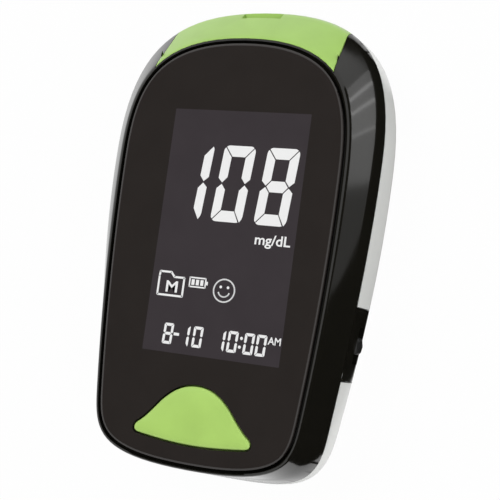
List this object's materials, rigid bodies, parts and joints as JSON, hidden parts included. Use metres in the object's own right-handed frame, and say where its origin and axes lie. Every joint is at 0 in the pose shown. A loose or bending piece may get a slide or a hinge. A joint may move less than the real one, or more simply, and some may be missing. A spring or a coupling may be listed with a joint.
{
  "type": "blood glucose meter",
  "caption": "Hand-held test-strip reader with a tall display under a glossy face, one large front key, a side strip ejector and a sliding battery door.",
  "frame": {"origin": "middle of the flat back, on the plane the meter lies on", "axes": "+X right as the face is read, +Y towards the strip port end, +Z out of the face"},
  "size_m": [0.0586, 0.096, 0.02],
  "materials": {
    "gloss_black": "polished moulded plastic, gloss black",
    "smoked_lens": "polished acrylic window, printed dark behind",
    "green": "satin moulded plastic, light green",
    "green_key": "satin moulded key, light green",
    "silver_grey": "silver-grey painted plastic",
    "dark_key": "fine matt dark plastic",
    "silicone": "soft silicone",
    "display": "dark display glass",
    "white_frame": "plain white moulding",
    "board": "green solder mask",
    "chip": "black moulded package",
    "brass": "bright plated brass",
    "steel": "plated spring steel",
    "cell": "plain printed cell jacket"
  },
  "bodies": {
    "case": {"front_bezel": "gloss_black", "top_cap": "green", "face_lens": "smoked_lens", "rear_case": "silver_grey", "case_screw_1": "steel", "case_screw_2": "steel", "case_screw_3": "steel", "case_screw_4": "steel", "button_dome": "silicone", "set_dome": "silicone", "display_glass": "display", "backlight_panel": "white_frame", "display_frame": "white_frame", "zebra_strip": "silicone", "main_board": "board", "microcontroller": "chip", "buzzer": "brass", "strip_socket": "white_frame", "strip_contact_1": "brass", "strip_contact_2": "brass", "strip_contact_3": "brass", "board_screw_1": "steel", "board_screw_2": "steel", "ejector_spring": "steel", "battery_1": "cell", "battery_2": "cell", "contact_plus": "steel", "contact_minus": "steel", "contact_bridge": "steel"},
    "main_key": {"main_button": "green_key"},
    "set_key": {"set_button": "dark_key"},
    "ejector": {"ejector_slide": "dark_key"},
    "door": {"battery_door": "silver_grey"}
  },
  "joints": [
    {"name": "main_button_press", "type": "slide", "parent": "case", "child": "main_key", "axis": [0, 0, -1], "range_m": [0, 0.0007], "stiffness_N_per_m": 2000, "deforming": ["button_dome"]},
    {"name": "set_button_press", "type": "slide", "parent": "case", "child": "set_key", "axis": [0, 0, 1], "range_m": [0, 0.0006], "stiffness_N_per_m": 1500, "deforming": ["set_dome"]},
    {"name": "ejector_push", "type": "slide", "parent": "case", "child": "ejector", "axis": [0, 1, 0], "range_m": [0, 0.0019], "stiffness_N_per_m": 1000, "deforming": ["ejector_spring"]},
    {"name": "battery_door_slide", "type": "slide", "parent": "case", "child": "door", "axis": [0, -1, 0], "range_m": [0, 0.07]}
  ]
}
